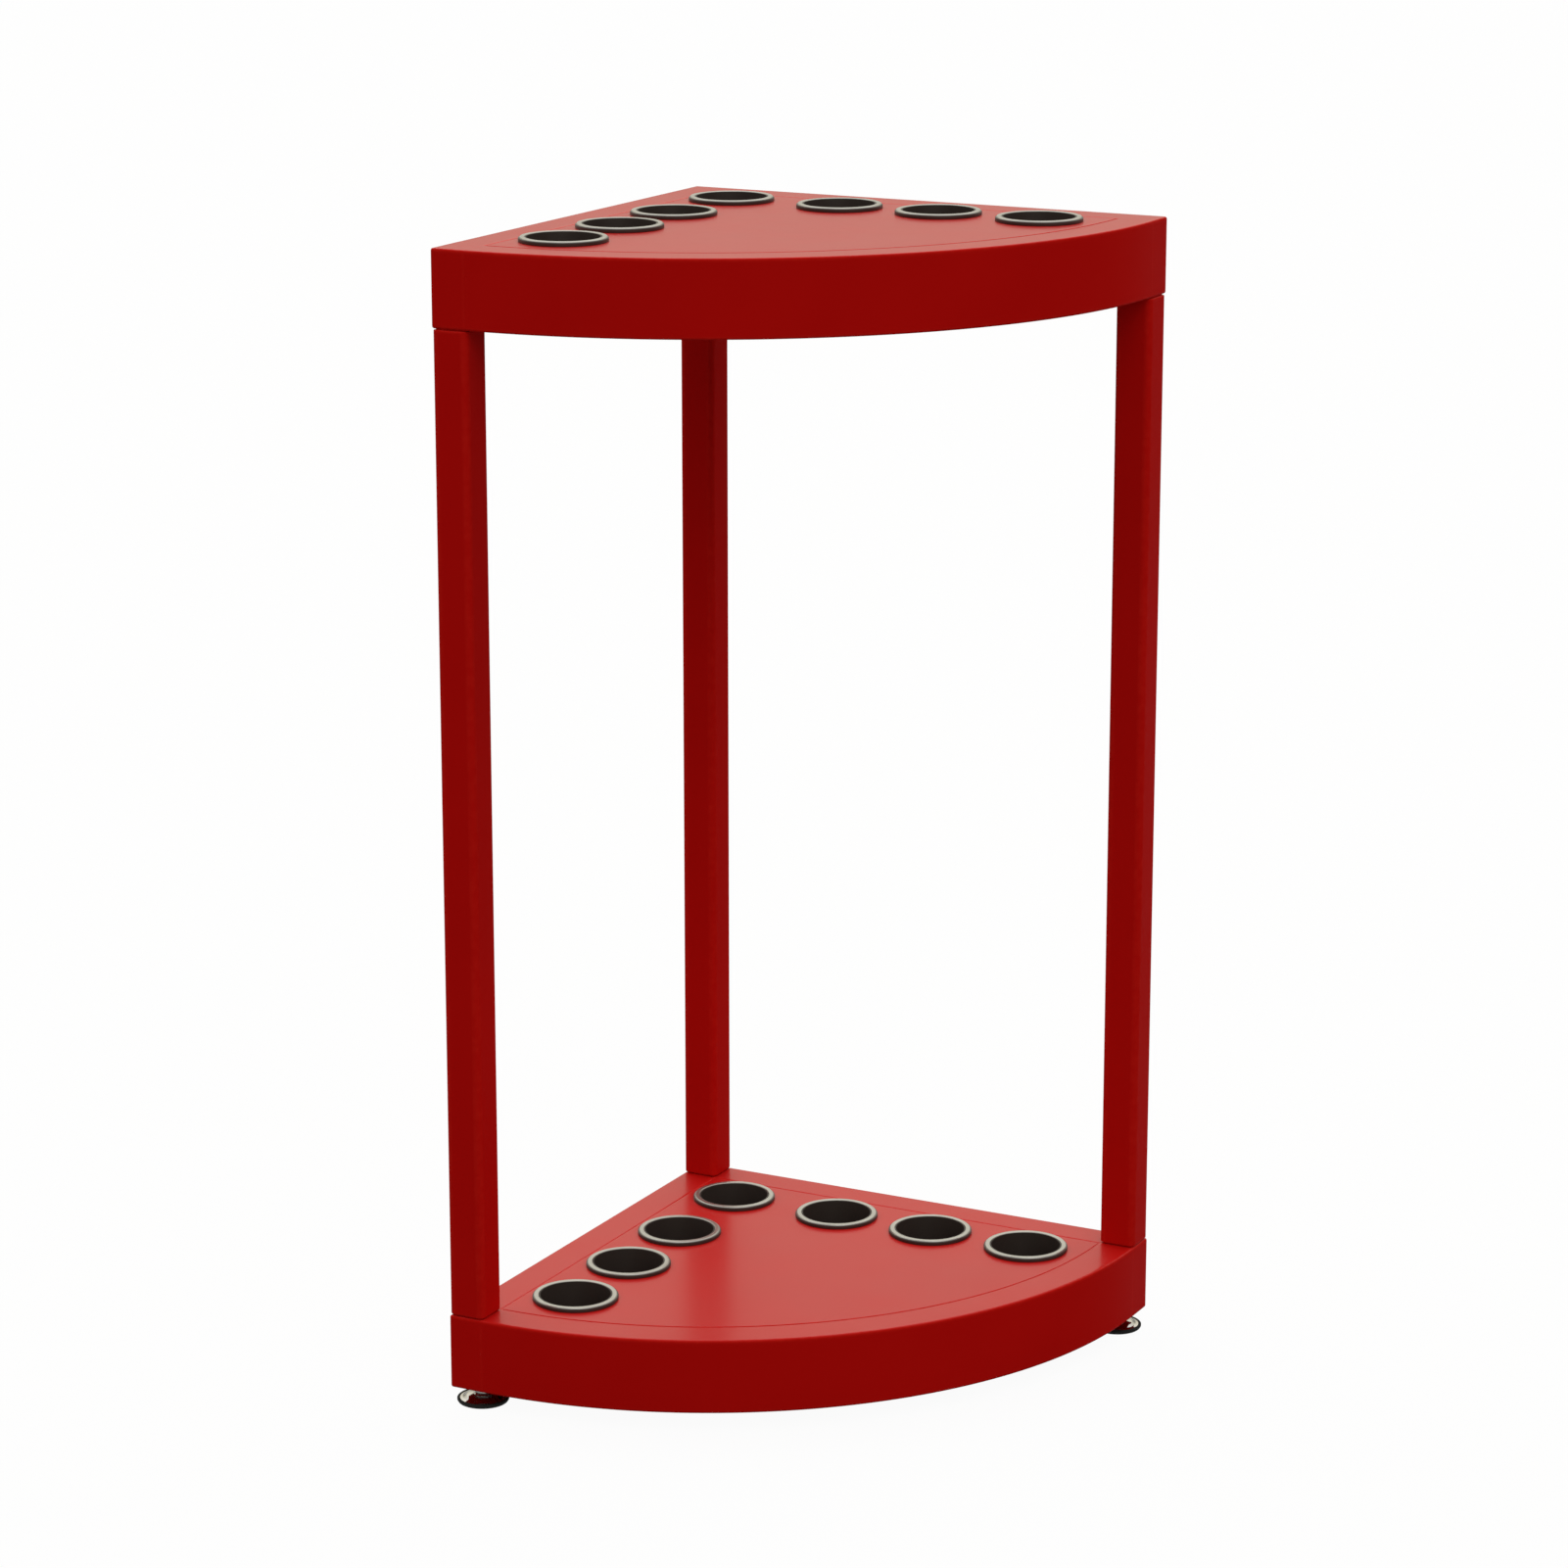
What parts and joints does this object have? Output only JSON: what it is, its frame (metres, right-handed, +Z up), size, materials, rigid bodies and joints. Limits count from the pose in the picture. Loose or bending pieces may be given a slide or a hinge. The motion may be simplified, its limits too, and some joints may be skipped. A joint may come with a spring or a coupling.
{
  "type": "corner cue stand",
  "caption": "Quarter-round corner floor stand in red steel tube, with lined holes in its upper deck over lined cups in its lower deck to hold cues or bars upright, on levelling feet.",
  "frame": {"origin": "on the floor, under the middle of the stand's bounding box", "axes": "+Z up; +Y towards the wall behind the back rails; -X towards the wall beside the side rails; the curved front faces +X and -Y"},
  "size_m": [0.419, 0.419, 0.9154],
  "materials": {
    "red_paint": "semi-gloss red powder coat",
    "black_plastic": "moulded black plastic",
    "satin_metal": "satin metal trim",
    "zinc_steel": "zinc-plated steel",
    "bright_plate": "bright plated steel",
    "black_rubber": "black rubber"
  },
  "bodies": {
    "frame": {"upper_back_rail": "red_paint", "upper_side_rail": "red_paint", "upper_front_rail": "red_paint", "upper_back_ledge": "red_paint", "upper_side_ledge": "red_paint", "upper_front_ledge": "red_paint", "upper_panel": "red_paint", "lower_back_rail": "red_paint", "lower_side_rail": "red_paint", "lower_front_rail": "red_paint", "lower_back_ledge": "red_paint", "lower_side_ledge": "red_paint", "lower_front_ledge": "red_paint", "lower_panel": "red_paint", "back_post": "red_paint", "left_post": "red_paint", "right_post": "red_paint", "upper_liner_1": "black_plastic", "upper_liner_2": "black_plastic", "upper_liner_3": "black_plastic", "upper_liner_4": "black_plastic", "upper_liner_5": "black_plastic", "upper_liner_6": "black_plastic", "upper_liner_7": "black_plastic", "lower_cup_1": "black_plastic", "lower_cup_2": "black_plastic", "lower_cup_3": "black_plastic", "lower_cup_4": "black_plastic", "lower_cup_5": "black_plastic", "lower_cup_6": "black_plastic", "lower_cup_7": "black_plastic", "upper_ring_1": "satin_metal", "upper_ring_2": "satin_metal", "upper_ring_3": "satin_metal", "upper_ring_4": "satin_metal", "upper_ring_5": "satin_metal", "upper_ring_6": "satin_metal", "upper_ring_7": "satin_metal", "lower_ring_1": "satin_metal", "lower_ring_2": "satin_metal", "lower_ring_3": "satin_metal", "lower_ring_4": "satin_metal", "lower_ring_5": "satin_metal", "lower_ring_6": "satin_metal", "lower_ring_7": "satin_metal", "back_foot_nut": "zinc_steel", "left_foot_nut": "zinc_steel", "right_foot_nut": "zinc_steel"},
    "back_foot": {"back_foot_base": "bright_plate", "back_foot_pad": "black_rubber"},
    "left_foot": {"left_foot_base": "bright_plate", "left_foot_pad": "black_rubber"},
    "right_foot": {"right_foot_base": "bright_plate", "right_foot_pad": "black_rubber"},
    "back_stud": {"back_foot_stud": "zinc_steel"},
    "left_stud": {"left_foot_stud": "zinc_steel"},
    "right_stud": {"right_foot_stud": "zinc_steel"}
  },
  "joints": [
    {"name": "back_foot_travel", "type": "slide", "parent": "frame", "child": "back_foot", "axis": [0, 0, -1], "range_m": [-0.001, 0.02]},
    {"name": "left_foot_travel", "type": "slide", "parent": "frame", "child": "left_foot", "axis": [0, 0, -1], "range_m": [-0.001, 0.02]},
    {"name": "right_foot_travel", "type": "slide", "parent": "frame", "child": "right_foot", "axis": [0, 0, -1], "range_m": [-0.001, 0.02]},
    {"name": "back_foot_turn", "type": "hinge", "parent": "back_foot", "child": "back_stud", "pos_m": [-0.189, 0.189, 0.01], "axis": [0, 0, -1], "range_deg": [-288, 5760]},
    {"name": "left_foot_turn", "type": "hinge", "parent": "left_foot", "child": "left_stud", "pos_m": [-0.189, -0.189, 0.01], "axis": [0, 0, -1], "range_deg": [-288, 5760]},
    {"name": "right_foot_turn", "type": "hinge", "parent": "right_foot", "child": "right_stud", "pos_m": [0.189, 0.189, 0.01], "axis": [0, 0, -1], "range_deg": [-288, 5760]}
  ],
  "couplings": [
    {"joint": "back_foot_turn", "follows": "back_foot_travel", "rad_per_m": 5026.5},
    {"joint": "left_foot_turn", "follows": "left_foot_travel", "rad_per_m": 5026.5},
    {"joint": "right_foot_turn", "follows": "right_foot_travel", "rad_per_m": 5026.5}
  ]
}
